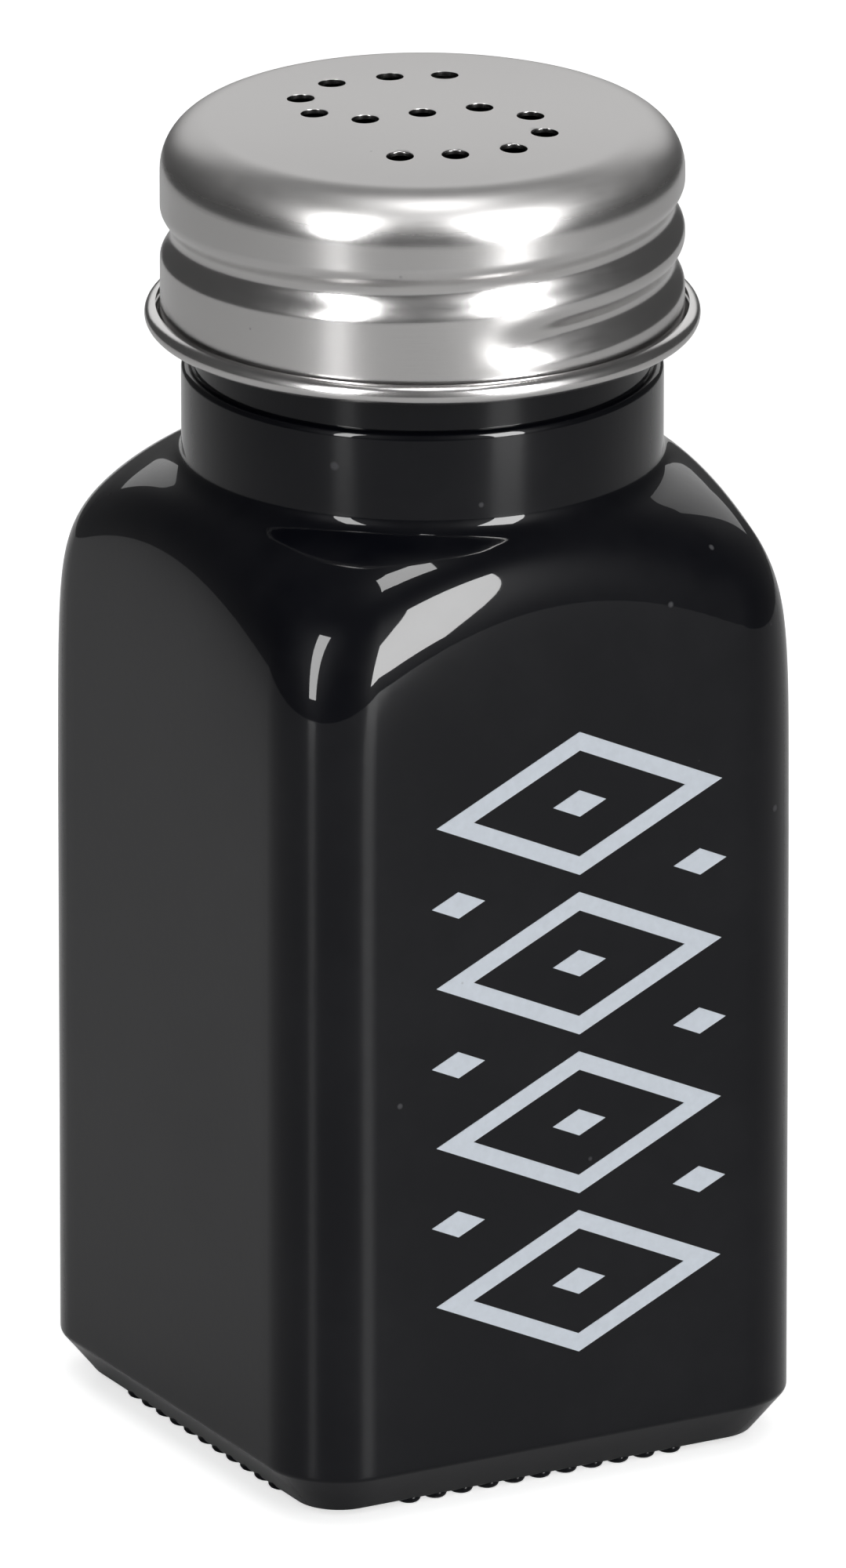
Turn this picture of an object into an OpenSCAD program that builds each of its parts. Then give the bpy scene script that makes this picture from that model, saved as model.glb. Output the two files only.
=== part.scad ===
// Square glass salt shaker with a screw-on pressed steel cap.
// Origin at the centre of the resting plane, +Z up, printed face towards -Y. Millimetres.

/* [Glass body] */
// Width of the square body across its flats
body_w = 45; // [40:1:50]
// Radius of the body's four upright corners
corner_r = 6.3; // [4:0.1:8]
// Height at which the foot's bevel meets the upright faces
bevel_h = 3.85; // [2:0.05:5]
// How far the bevel draws the foot in on each side
bevel_in = 2.8; // [1.5:0.1:3.5]
// Thickness of the glass walls
wall = 2.6; // [2:0.1:3]
// Thickness of the glass base
base_t = 5.2; // [4.5:0.1:7]

/* [Shoulder and neck] */
// Height at which the shoulder starts to turn in
shoulder_z = 65; // [62:0.5:67]
// Height at which the shoulder meets the neck
neck_z = 77.8; // [77:0.1:79]
// Radius of the plain lower neck
neck_r = 18.6; // [18.3:0.1:19]
// Height of the step above the plain lower neck
step_z = 85.7; // [84:0.1:86.5]
// Radius of the neck between its threads
root_r = 17.9; // [17.5:0.05:17.9]
// Radius of the mouth
mouth_r = 14.8; // [13:0.1:15]

/* [Foot] */
// Number of ribs along each side of the foot
rib_count = 11; // [5:2:11]
// Distance between neighbouring ribs
rib_pitch = 2.3; // [2:0.1:2.4]
// Height of the ribs
rib_h = 0.45; // [0.3:0.05:0.6]

/* [Screw thread] */
// Rise of the cap in one full turn
pitch = 4.5; // [4.3:0.05:4.6]
// Height of the ridge on the glass neck
ridge_h = 1.5; // [1.3:0.05:1.5]
// Depth of the groove rolled into the cap
groove_d = 0.85; // [0.7:0.05:0.9]

/* [Cap] */
// Height of the closed shaker
total_h = 105.5; // [105.3:0.1:106.5]
// How far the middle of the cap's top rises above its rounded edge
crown_rise = 0.55; // [0.3:0.05:0.8]
// Outer radius of the cap's side
cap_r = 20.2; // [20.1:0.05:20.4]
// Thickness of the steel sheet
sheet = 0.35; // [0.3:0.05:0.4]
// Radius of the rounded edge between the cap's top and side
edge_r = 3.9; // [3.4:0.1:4.2]
// Diameter of the pouring holes
hole_d = 2.1; // [1.5:0.1:2.6]

/* [Printed crystals] */
// Number of printed crystals
crystal_count = 4; // [1:1:4]
// Distance between the crystals' centres
crystal_pitch = 13; // [12.6:0.2:13]
// Width of the printed line
line_w = 1.35; // [0.8:0.05:2]
// Thickness of the ink
ink_t = 0.08; // [0.05:0.01:0.15]

/* [Hidden] */
$fn = 96;
lap = 0.3;                          // how far joined pieces of one solid run into each other
half_w = body_w / 2;
seal_h = 1.2;                       // thickness of the seal ring
seal_gap = 0.03;                    // and the gap above and below it
edge_top = total_h - crown_rise;    // height of the cap's rounded edge
lip_z = edge_top - sheet - seal_h - 2 * seal_gap;   // height of the mouth's lip

// --- outlines ------------------------------------------------------------------------------

// Points of an arc about (cx, cy) from angle a0 to a1.
function arc(cx, cy, r, a0, a1, n) =
    [for (i = [0:n]) let (a = a0 + (a1 - a0) * i / n) [cx + r * cos(a), cy + r * sin(a)]];

// Rounded square as points, with the flats divided so that a curved wall can follow them.
flat_steps = 8;
arc_steps = 8;
function square_ring(h, r) = [
    for (q = [0:3], p = concat(
        [for (i = [0:flat_steps - 1]) [h, (h - r) * (2 * i / flat_steps - 1)]],
        arc(h - r, h - r, r, 0, 90 - 90 / arc_steps, arc_steps - 1)))
    [p[0] * cos(90 * q) - p[1] * sin(90 * q), p[0] * sin(90 * q) + p[1] * cos(90 * q)]];

// Closed solid through rings of equally many points, each end face fanned about its middle.
function middle(points) = [for (p = points) 1] * points / len(points);
module loft(rings) {
    n = len(rings[0]);
    last = n * (len(rings) - 1);
    hub = n * len(rings);
    polyhedron(
        concat([for (ring = rings) each ring], [middle(rings[0]), middle(rings[len(rings) - 1])]),
        concat(
            [for (k = [0:len(rings) - 2], i = [0:n - 1]) let (a = k * n + i, b = k * n + (i + 1) % n)
                each [[a, a + n, b], [b, a + n, b + n]]],
            [for (i = [0:n - 1]) let (j = (i + 1) % n)
                each [[i, j, hub], [last + j, last + i, hub + 1]]]));
}

// Rounded square drawn from squares and circles, so that its corners stay true arcs.
module rounded_square(h, r) {
    square([2 * h, 2 * (h - r)], center = true);
    square([2 * (h - r), 2 * h], center = true);
    for (x = [-1, 1], y = [-1, 1]) translate([x * (h - r), y * (h - r)]) circle(r);
}

// --- glass bottle --------------------------------------------------------------------------

// The dome's radius at a height: it falls ever faster towards the neck.
dome_r = 36;                        // the dome's radius at shoulder_z
dome_power = 0.754;
dome_blend = 10.4;                  // a higher value sharpens the edge between the faces and the dome
function dome(z, inner_r, r0, z0, z1) =
    inner_r + (r0 - inner_r) * pow(max((z1 - z) / (z1 - z0), 0), dome_power);
function blended(p, r) = let (d = norm(p)) p * pow(1 + pow(d / r, dome_blend), -1 / dome_blend);

// Heights of the rings that carry the shoulder, closer together towards the neck.
shoulder_start = 50;
shoulder_rings = 20;
function shoulder_height(i) =
    shoulder_start + (neck_z - shoulder_start) * sin(90 * i / shoulder_rings);

function at_height(ring, z) = [for (p = ring) [p[0], p[1], z]];

module skin() {
    full = square_ring(half_w, corner_r);
    foot = square_ring(half_w - bevel_in, corner_r - bevel_in);
    loft(concat(
        [at_height(foot, rib_h), at_height(full, bevel_h), at_height(full, shoulder_start)],
        [for (i = [1:shoulder_rings]) let (z = shoulder_height(i),
            r = dome(z, neck_r - 0.2, dome_r, shoulder_z, neck_z))
            at_height([for (p = full) blended(p, r)], z)]));
}

// Neck, with a hollow curve into the shoulder, a rounded step and a rounded lip.
fillet_r = 1.6;
lip_r = 0.9;
step_r = 0.65;
module neck() {
    rotate_extrude() polygon(concat(
        [[0, neck_z - 8], [neck_r + 1, neck_z - 8], [neck_r + 1.3, neck_z - 1.1]],
        arc(neck_r + fillet_r, neck_z + 1.2, fillet_r, 230, 180, 6),
        arc(neck_r - step_r, step_z - step_r, step_r, 0, 90, 5),
        [[root_r, step_z]],
        arc(root_r - lip_r, lip_z - lip_r, lip_r, 0, 90, 6),
        [[0, lip_z]]));
}

// The ridge on the neck: one and a quarter turns, running out into the neck at both ends.
ridge_start = 331;                  // angle about Z at which the ridge starts
ridge_turn = 450;
ridge_z = 95.6;                     // height of the ridge's middle at its start
fade = 30;                          // angle over which a thread runs out
ridge_steps = 50;
ridge_section = [[-1, 1.25], [0, 1.15], [0.7, 0.75], [1, 0.25],
                 [1, -0.25], [0.7, -0.75], [0, -1.15], [-1, -1.25]];
function run_out(a, total) = min(1, max(a, 0) / fade, max(total - a, 0) / fade);

module thread_ridge() {
    loft([for (i = [0:ridge_steps]) let (a = ridge_turn * i / ridge_steps,
        k = max(run_out(a, ridge_turn), 0.08), z = ridge_z + pitch * a / 360, t = ridge_start + a)
        [for (s = ridge_section) let (r = root_r - 0.1 + (s[0] < 0 ? s[0] : s[0] * (ridge_h + 0.1) * k))
            [r * cos(t), r * sin(t), z + s[1] * (0.4 + 0.6 * k)]]]);
}

// Inside of the bottle: a rounded square room under a dome, and the round mouth.
inner_drop = 2.4;                   // how far the inner dome lies below the outer one
inner_dome_steps = 12;
module cavity() {
    h = half_w - wall;
    z0 = shoulder_z - inner_drop;
    z1 = neck_z - inner_drop;
    intersection() {
        translate([0, 0, base_t]) linear_extrude(z1 - base_t) rounded_square(h, corner_r - wall + 0.6);
        rotate_extrude() polygon(concat(
            [[0, base_t], [1.2 * h, base_t], [dome_r - 2, base_t + 5], [dome_r - 2, z0]],
            [for (i = [1:inner_dome_steps]) let (z = z0 + (z1 - z0) * sin(90 * i / inner_dome_steps))
                [dome(z, mouth_r - 0.1, dome_r - 2, z0, z1), z]],
            [[0, z1]]));
    }
    translate([0, 0, z1 - 4]) cylinder(h = lip_z - z1 + 5, r = mouth_r);
}

// Short flat-bottomed ribs along the foot, which the shaker stands on. Their outer ends taper.
rib_len = 2.6;
rib_flat = 0.7;                     // width of a rib where it stands
rib_tip = 0.3;                      // width of its blunt outer end
rib_blunt = 2;                      // how much faster than its length the rib widens behind that end
rib_wide = 0.84 * rib_pitch;        // and its width where it leaves the glass
rib_inset = 0.15;                   // how far the ribs stop short of the foot's edge
module rib() {
    root = rib_h + 0.2;
    flare = (rib_wide - rib_tip / 2) / rib_blunt;
    intersection() {
        rotate([-90, 0, 0]) linear_extrude(rib_len)
            polygon([[-rib_flat / 2, 0], [rib_flat / 2, 0], [rib_wide / 2, -root], [-rib_wide / 2, -root]]);
        translate([0, 0, -lap]) linear_extrude(root + 2 * lap)
            polygon([[-rib_tip / 2, 0], [rib_tip / 2, 0], [rib_wide, flare], [rib_wide, rib_len + lap],
                     [-rib_wide, rib_len + lap], [-rib_wide, flare]]);
    }
}

module ribs() {
    reach = half_w - bevel_in - rib_inset;
    for (side = [0:3], i = [0:rib_count - 1])
        rotate(90 * side) translate([(i - (rib_count - 1) / 2) * rib_pitch, -reach, 0]) rib();
}

// The base is pushed up a little in the middle.
push_up_r = 80;
push_up = 1.4;
module bottle() {
    color([0.03, 0.03, 0.035]) difference() {
        union() {
            skin();
            neck();
            thread_ridge();
            ribs();
        }
        cavity();
        translate([0, 0, rib_h + push_up - push_up_r]) sphere(r = push_up_r);
    }
}

// --- printed crystals ----------------------------------------------------------------------

crystal_w = 25;
crystal_h = 11.6;
grain_w = 4.6;
grain_x = 10.6;                     // how far the grains between crystals lie from the middle line
print_x = 1.4;                      // the print's middle, along the face
print_z = 36.5;                     // and its height
module lozenge(w, h) polygon([[w / 2, 0], [0, h / 2], [-w / 2, 0], [0, -h / 2]]);

// A lozenge drawn with a line of even width, and a solid one at its middle.
module crystal() {
    inscribed_r = crystal_w * crystal_h / 2 / norm([crystal_w, crystal_h]);
    inner = 1 - line_w / inscribed_r;
    grain = grain_w / crystal_w;
    difference() {
        lozenge(crystal_w, crystal_h);
        lozenge(crystal_w * inner, crystal_h * inner);
    }
    lozenge(crystal_w * grain, crystal_h * grain);
}

module crystal_print() {
    color([0.82, 0.85, 0.88]) translate([print_x, -half_w, print_z]) rotate([90, 0, 0])
        linear_extrude(ink_t) for (i = [0:crystal_count - 1])
            translate([0, (i - (crystal_count - 1) / 2) * crystal_pitch]) {
                crystal();
                if (i > 0) for (x = [-grain_x, grain_x]) translate([x, -crystal_pitch / 2])
                    lozenge(grain_w, grain_w * crystal_h / crystal_w);
            }
}

// --- seal ring -----------------------------------------------------------------------------

// A soft ring between the lip and the cap's flat top, bevelled to clear the cap's rounded edge.
seal_in = 15.2;
seal_out = 18;
seal_bevel = 0.6;
module seal_ring() {
    z = lip_z + seal_gap;
    color([0.9, 0.9, 0.88]) rotate_extrude() polygon([
        [seal_in, z], [seal_out, z], [seal_out, z + seal_h - seal_bevel], [cap_r - edge_r, z + seal_h],
        [seal_in, z + seal_h]]);
}

// --- steel cap -----------------------------------------------------------------------------

band_low = 91;                      // where the groove's band starts
band_top = 100.6;                   // and where it ends
curl_z = 89.5;
curl_r = 0.78;
groove_start = 250;                 // angle about Z at which the groove starts
groove_turn = 480;
groove_z = 92.8;                    // height of the groove's middle at its start
groove_half = 2.1;
band_sides = 64;
band_rows = 17;

// How deep the groove is at angle t and height z, as a share of its full depth.
function groove(t, z) = max([for (k = [0:2]) let (a = t - groove_start + 360 * k,
    d = (z - groove_z - pitch * a / 360) / groove_half)
    a < 0 || a > groove_turn || abs(d) > 1 ? 0 : run_out(a, groove_turn) * pow(cos(90 * d), 2)]);

// The side of the cap, whose outer and inner walls follow the rolled groove together.
module threaded_band() {
    z0 = band_low - lap / 2;
    z1 = band_top + lap / 2;
    slack = 0.02;                   // keeps this band's flat facets inside the round sheet it joins
    levels = [for (k = [0:band_rows]) z0 + (z1 - z0) * k / band_rows];
    function wall_ring(z, inset) = [for (i = [0:band_sides - 1]) let (t = 360 * i / band_sides,
        r = cap_r - inset - groove_d * groove(t, z)) [r * cos(t), r * sin(t), z]];
    outer = [for (z = levels) each wall_ring(z, slack)];
    inner = [for (z = levels) each wall_ring(z, sheet - 2 * slack)];
    n = band_sides;
    m = n * (band_rows + 1);
    walls = [for (k = [0:band_rows - 1], i = [0:n - 1]) let (a = k * n + i, b = k * n + (i + 1) % n)
        each [[a, a + n, b], [b, a + n, b + n], [m + a, m + b, m + a + n], [m + b, m + b + n, m + a + n]]];
    ends = [for (i = [0:n - 1]) let (j = (i + 1) % n, u = n * band_rows)
        each [[i, j, m + i], [j, m + j, m + i], [u + i, m + u + i, u + j], [u + j, m + u + i, m + u + j]]];
    polyhedron(concat(outer, inner), concat(walls, ends));
}

// Slightly domed top, rounded edge and the plain side above the groove.
dome_steps = 6;
module crown() {
    top_r = cap_r - edge_r;
    edge_z = edge_top - edge_r;
    top = [for (i = [0:dome_steps - 1]) let (u = i / dome_steps) [u * top_r, total_h - crown_rise * u * u]];
    rotate_extrude() polygon(concat(
        top, arc(top_r, edge_z, edge_r, 90, 0, 12),
        [[cap_r, band_top], [cap_r - sheet, band_top]],
        arc(top_r, edge_z, edge_r - sheet, 0, 90, 12),
        [for (i = [dome_steps - 1:-1:0]) top[i] - [0, sheet]]));
}

// Plain skirt that ends in an outward curl.
module curled_rim() {
    curl_x = cap_r - sheet + curl_r;
    rotate_extrude() {
        translate([cap_r - sheet, curl_z]) square([sheet, band_low - curl_z]);
        translate([curl_x, curl_z]) difference() {
            circle(curl_r, $fn = 48);
            circle(curl_r - sheet, $fn = 48);
            polygon([[0, 0], [-2, 0], [-2, 2], [-0.2, 2]]);
        }
    }
}

// Thirteen holes on an S-shaped line: an oval bowl on each side of the middle, and a tail on each.
bowl_middle = [-0.95, 5.25];
bowl_radii = [6.3, 5.4];
bowl_start = 57;                    // angle of the bowl's first hole
bowl_step = 44.5;                   // and from each hole to the next
tail_hole = [6.4, 8.1];
half_holes = concat([tail_hole], [for (k = [0:4]) let (a = bowl_start + bowl_step * k)
    bowl_middle + [bowl_radii[0] * cos(a), bowl_radii[1] * sin(a)]]);
hole_places = concat(half_holes, [[0, 0]], [for (p = half_holes) -p]);

module cap() {
    color([0.72, 0.71, 0.7]) difference() {
        union() {
            crown();
            threaded_band();
            curled_rim();
        }
        for (p = hole_places) translate([p[0], p[1], total_h - 2]) cylinder(h = 3, d = hole_d, $fn = 24);
    }
}

bottle();
crystal_print();
seal_ring();
cap();
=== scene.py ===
"""Square glass salt shaker with a screw-on steel cap: the looks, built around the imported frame."""

import math

import bpy
import numpy as np
from bpy.props import FloatProperty, FloatVectorProperty, IntProperty, PointerProperty
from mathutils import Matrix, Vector


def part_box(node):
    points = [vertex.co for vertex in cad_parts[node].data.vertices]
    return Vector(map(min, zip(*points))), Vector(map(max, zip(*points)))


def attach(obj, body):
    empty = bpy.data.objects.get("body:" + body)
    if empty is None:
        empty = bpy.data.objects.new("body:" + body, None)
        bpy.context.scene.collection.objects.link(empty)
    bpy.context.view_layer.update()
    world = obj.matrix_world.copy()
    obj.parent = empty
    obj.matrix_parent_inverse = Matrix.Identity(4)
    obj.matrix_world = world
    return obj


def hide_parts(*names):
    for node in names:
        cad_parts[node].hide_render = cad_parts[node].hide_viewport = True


bl_info = {
    "name": "Square Glass Salt Shaker",
    "version": (1, 0, 0),
    "blender": (4, 5, 0),
    "location": "View3D > Sidebar > Shaker",
    "description": "Builds a square lacquered glass salt shaker with a screw-on steel cap",
    "category": "Add Mesh",
}

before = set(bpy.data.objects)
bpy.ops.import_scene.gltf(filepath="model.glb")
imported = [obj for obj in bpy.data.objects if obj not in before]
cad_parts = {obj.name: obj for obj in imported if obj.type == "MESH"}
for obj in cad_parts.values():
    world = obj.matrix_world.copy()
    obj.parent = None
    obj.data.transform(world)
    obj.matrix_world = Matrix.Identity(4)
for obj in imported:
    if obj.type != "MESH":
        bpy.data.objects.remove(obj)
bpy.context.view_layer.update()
BOTTLE_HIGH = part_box("bottle")[1]
CAP_LOW, CAP_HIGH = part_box("cap")
SEAL_LOW, SEAL_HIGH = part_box("seal_ring")
MM = 0.001
TURN = 2 * math.pi


# --- sizes and colours -----------------------------------------------------------------------


def length(name, description, metres):
    return FloatProperty(name=name, description=description, default=metres, unit="LENGTH", precision=5)


def angle(name, description, degrees):
    return FloatProperty(name=name, description=description, default=math.radians(degrees), unit="ROTATION")


def colour(name, description, rgb):
    return FloatVectorProperty(name=name, description=description, default=rgb, subtype="COLOR", min=0, max=1)


class BodySizes(bpy.types.PropertyGroup):
    """Sizes of the glass body, its neck and its foot."""

    half_width: length("Half width", "From the middle to a flat face", BOTTLE_HIGH.x)
    corner: length("Corner radius", "Radius of the four upright corners", 6.3 * MM)
    rib_height: length("Rib height", "How far the foot's ribs reach below the base", 0.45 * MM)
    bevel_height: length("Bevel height", "Where the foot's bevel meets the faces", 3.85 * MM)
    bevel_inset: length("Bevel inset", "How far the bevel draws the foot in", 2.8 * MM)
    edge: length("Edge radius", "Radius of the bevel's two edges", 0.5 * MM)
    push_up: length("Push-up", "Rise of the hollow in the middle of the base", 1.4 * MM)
    wall: length("Wall", "Thickness of the glass walls", 2.6 * MM)
    base: length("Base", "Height of the floor inside", 5.2 * MM)
    wall_top: length("Wall top", "Where the faces start to round towards the shoulder", 50 * MM)
    shoulder: length("Shoulder", "Height at which the shoulder's dome is widest", 65 * MM)
    dome: length("Dome radius", "Radius of the dome at the shoulder's height", 36 * MM)
    neck_height: length("Neck height", "Where the dome meets the neck", 77.8 * MM)
    neck: length("Neck radius", "Radius of the plain lower neck", 18.6 * MM)
    step: length("Step height", "Top of the plain lower neck", 85.7 * MM)
    root: length("Root radius", "Radius of the neck between its threads", 17.9 * MM)
    mouth: length("Mouth radius", "Radius of the mouth", 14.8 * MM)
    lip: length("Lip rounding", "Radius of the lip's two edges", 0.9 * MM)


class RibSizes(bpy.types.PropertyGroup):
    """Sizes of the short ribs that the shaker stands on."""

    count: IntProperty(name="Count", description="Ribs along each side", default=11, min=1)
    pitch: length("Pitch", "Distance between neighbouring ribs", 2.3 * MM)
    width: length("Width", "Width of a rib where it leaves the glass", 2.05 * MM)
    length: length("Length", "How far a rib runs in from the edge", 2.6 * MM)


class ThreadSizes(bpy.types.PropertyGroup):
    """Sizes of the screw thread, shared by the neck's ridge and the cap's groove."""

    pitch: length("Pitch", "Rise in one turn", 4.5 * MM)
    ridge_height: length("Ridge height", "How far the ridge stands out of the neck", 1.45 * MM)
    ridge_half: length("Ridge half width", "Half the width of the ridge at its root", 1.2 * MM)
    ridge_start: angle("Ridge start", "Where the ridge starts, about the axis", 331)
    ridge_low: length("Ridge low end", "Height of the ridge's lower end", 95.6 * MM)
    ridge_turns: FloatProperty(name="Ridge turns", description="Turns of the ridge", default=1.25)
    groove_depth: length("Groove depth", "Depth of the groove rolled into the cap", 0.85 * MM)
    groove_half: length("Groove half width", "Half the width of the groove", 2.1 * MM)
    groove_start: angle("Groove start", "Where the groove starts, about the axis", 250)
    groove_low: length("Groove low end", "Height of the groove's lower end", 92.8 * MM)
    groove_turns: FloatProperty(name="Groove turns", description="Turns of the groove", default=4 / 3)
    fade: angle("Fade", "Angle over which a thread runs out", 30)


class CapSizes(bpy.types.PropertyGroup):
    """Sizes of the pressed steel cap."""

    radius: length("Radius", "Outer radius of the side", 20.2 * MM)
    sheet: length("Sheet", "Thickness of the sheet", 0.35 * MM)
    edge: length("Edge radius", "Radius of the rounded top edge", 3.9 * MM)
    crown: length("Crown", "Rise of the top's middle", 0.55 * MM)
    curl: length("Curl radius", "Radius of the curled rim", 0.78 * MM)
    hole: length("Hole radius", "Radius of the pouring holes", 1.05 * MM)
    flare: length("Hole flare", "How far each hole's pressed edge widens", 0.06 * MM)
    bowl_x: length("Bowl X", "Middle of the upper bowl of holes, along X", -0.95 * MM)
    bowl_y: length("Bowl Y", "Middle of the upper bowl of holes, along Y", 5.25 * MM)
    bowl_width: length("Bowl half width", "Half the width of a bowl of holes", 6.3 * MM)
    bowl_height: length("Bowl half height", "Half the height of a bowl of holes", 5.4 * MM)
    bowl_start: angle("Bowl start", "Angle of the bowl's first hole", 57)
    bowl_step: angle("Bowl step", "Angle from each hole to the next", 44.5)
    tail_x: length("Tail X", "Place of the last hole of the line, along X", 6.4 * MM)
    tail_y: length("Tail Y", "Place of the last hole of the line, along Y", 8.1 * MM)


class Finishes(bpy.types.PropertyGroup):
    """Colours of the finishes."""

    lacquer: colour("Lacquer", "Black lacquer on the glass", (0.0016, 0.0019, 0.004))
    haze: colour("Lacquer dust", "Fine dust on the lacquer", (0.16, 0.16, 0.17))
    ink: colour("Ink", "Printed crystals", (0.76, 0.82, 0.9))
    steel: colour("Steel", "Stainless sheet", (0.575, 0.565, 0.56))
    seal: colour("Seal", "Soft seal ring", (0.72, 0.71, 0.67))
    floor: colour("Floor", "Studio floor", (0.8, 0.8, 0.8))


SETTINGS = {
    "shaker_body": BodySizes,
    "shaker_ribs": RibSizes,
    "shaker_thread": ThreadSizes,
    "shaker_cap": CapSizes,
    "shaker_finishes": Finishes,
}


# --- outlines and shells ---------------------------------------------------------------------


def rounded_outline(corners, steps=6):
    """Points of an open outline of (x, z, radius) corners, with an arc at each corner that has a radius."""
    points = []
    for i, (x, z, radius) in enumerate(corners):
        corner = Vector((x, z))
        if not radius:
            points.append(corner)
            continue
        before = (Vector(corners[i - 1][:2]) - corner).normalized()
        after = (Vector(corners[i + 1][:2]) - corner).normalized()
        half = before.angle(after) / 2
        middle = corner + (before + after).normalized() * radius / math.sin(half)
        start = corner + before * radius / math.tan(half) - middle
        end = corner + after * radius / math.tan(half) - middle
        first = math.atan2(start.y, start.x)
        sweep = (math.atan2(end.y, end.x) - first + math.pi) % TURN - math.pi
        for k in range(steps + 1):
            a = first + sweep * k / steps
            points.append(middle + radius * Vector((math.cos(a), math.sin(a))))
    return points


def square_reach(angles, half, corner):
    """How far a rounded square reaches from its middle in each direction."""
    turn = np.abs((angles + math.pi / 4) % (math.pi / 2) - math.pi / 4)
    inner = half - corner
    along = inner * (np.cos(turn) + np.sin(turn))
    rounded = along + np.sqrt(np.maximum(along**2 - 2 * inner**2 + corner**2, 0))
    return np.where(half * np.tan(turn) <= inner, half / np.cos(turn), rounded)


def square_angles(half, corner, flat_steps=26, corner_steps=22):
    """Directions of evenly spread points on a rounded square."""
    inner = half - corner
    flat = [math.atan2(inner * (2 * i / flat_steps - 1), half) for i in range(flat_steps)]
    turns = [math.pi / 2 * i / corner_steps for i in range(corner_steps)]
    arc = [math.atan2(inner + corner * math.sin(t), inner + corner * math.cos(t)) for t in turns]
    return np.array([q * math.pi / 2 + a for q in range(4) for a in flat + arc])


def round_angles(count):
    return np.arange(count) * TURN / count


def ring(angles, reach, height):
    """Points at the given reach from the axis, in each direction."""
    reach = np.broadcast_to(reach, angles.shape)
    return np.column_stack([reach * np.cos(angles), reach * np.sin(angles), np.full(len(angles), height)])


def shell(name, rings, poles=(None, None), closed=False):
    """A mesh piece through rings of points. A pole closes an end; closed joins the last ring to the first."""
    n = len(rings[0])
    verts = np.vstack(rings)
    spans = len(rings) - (0 if closed else 1)
    faces = []
    for k in range(spans):
        here, there = k * n, (k + 1) % len(rings) * n
        faces += [(here + i, here + (i + 1) % n, there + (i + 1) % n, there + i) for i in range(n)]
    last = (len(rings) - 1) * n
    for pole, start, step in ((poles[0], 0, -1), (poles[1], last, 1)):
        if pole is not None:
            faces += [(len(verts), start + i, start + (i + step) % n) for i in range(n)]
            verts = np.vstack([verts, pole])
    mesh = bpy.data.meshes.new(name)
    mesh.from_pydata(verts.tolist(), [], faces)
    mesh.validate()
    mesh.shade_smooth()
    piece = bpy.data.objects.new(name, mesh)
    bpy.context.scene.collection.objects.link(piece)
    return piece


def seed(name):
    """A speck of mesh, which the piece's node tree replaces."""
    return shell(name, [ring(round_angles(3), 0.1 * MM, 0)] * 2)


def settle(piece):
    """Makes what the piece's modifiers show its own plain mesh, and removes them."""
    bpy.context.view_layer.update()
    graph = bpy.context.evaluated_depsgraph_get()
    mesh = bpy.data.meshes.new_from_object(piece.evaluated_get(graph), depsgraph=graph)
    piece.modifiers.clear()
    piece.data = mesh
    mesh.name = piece.name
    return piece


def finish_piece(piece, material, body, slot, *nodes):
    """Gives a piece its material, and hands it to the frame in place of the named CAD nodes."""
    piece.data.materials.clear()
    piece.data.materials.append(material)
    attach(piece, body)
    if nodes:
        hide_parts(*nodes)


# --- node trees ------------------------------------------------------------------------------


class Number:
    """A number in a node tree: arithmetic on it adds Math nodes."""

    def __init__(self, nodes, socket):
        self.nodes, self.socket = nodes, socket

    def __add__(self, other):
        return self.nodes.math("ADD", self, other)

    def __radd__(self, other):
        return self.nodes.math("ADD", other, self)

    def __sub__(self, other):
        return self.nodes.math("SUBTRACT", self, other)

    def __rsub__(self, other):
        return self.nodes.math("SUBTRACT", other, self)

    def __mul__(self, other):
        return self.nodes.math("MULTIPLY", self, other)

    def __rmul__(self, other):
        return self.nodes.math("MULTIPLY", other, self)

    def __truediv__(self, other):
        return self.nodes.math("DIVIDE", self, other)

    def __rtruediv__(self, other):
        return self.nodes.math("DIVIDE", other, self)

    def __pow__(self, other):
        return self.nodes.math("POWER", self, other)

    def __neg__(self):
        return self.nodes.math("MULTIPLY", self, -1.0)


class Nodes:
    """Adds nodes to a tree and joins them."""

    def __init__(self, tree):
        self.tree = tree

    def feed(self, socket, value):
        if isinstance(value, Number):
            value = value.socket
        if isinstance(value, bpy.types.NodeSocket):
            self.tree.links.new(value, socket)
        else:
            socket.default_value = value

    def add(self, kind, inputs=None, **settings):
        """A new node, with its inputs fed by name or by place."""
        node = self.tree.nodes.new(kind)
        for name, value in settings.items():
            setattr(node, name, value)
        for key, value in (inputs or {}).items():
            self.feed(node.inputs[key], value)
        return node

    def math(self, operation, *values, clamp=False):
        node = self.add("ShaderNodeMath", dict(enumerate(values)), operation=operation, use_clamp=clamp)
        return Number(self, node.outputs[0])

    def clamp(self, value):
        return self.math("ADD", value, 0.0, clamp=True)

    def split(self, vector):
        parts = self.add("ShaderNodeSeparateXYZ", {0: vector})
        return [Number(self, socket) for socket in parts.outputs]

    def join(self, x, y, z):
        return self.add("ShaderNodeCombineXYZ", {0: x, 1: y, 2: z}).outputs[0]

    def noise(self, vector, scale, detail=2.0, roughness=0.5):
        node = self.add("ShaderNodeTexNoise",
                        {"Vector": vector, "Scale": scale, "Detail": detail, "Roughness": roughness})
        return Number(self, node.outputs[0])

    def smooth_step(self, value, low, high):
        node = self.add("ShaderNodeMapRange", {"Value": value, "From Min": low, "From Max": high},
                        interpolation_type="SMOOTHSTEP")
        return Number(self, node.outputs[0])

    def arrange(self):
        """Sets the nodes out in columns, each to the right of what feeds it."""
        column = {node: 0 for node in self.tree.nodes}
        for _ in range(len(self.tree.nodes)):
            moved = False
            for link in self.tree.links:
                if column[link.to_node] <= column[link.from_node]:
                    column[link.to_node] = column[link.from_node] + 1
                    moved = True
            if not moved:
                break
        filled = {}
        for node, place in column.items():
            node.location = (place * 200, -filled.get(place, 0) * 180)
            filled[place] = filled.get(place, 0) + 1


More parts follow.
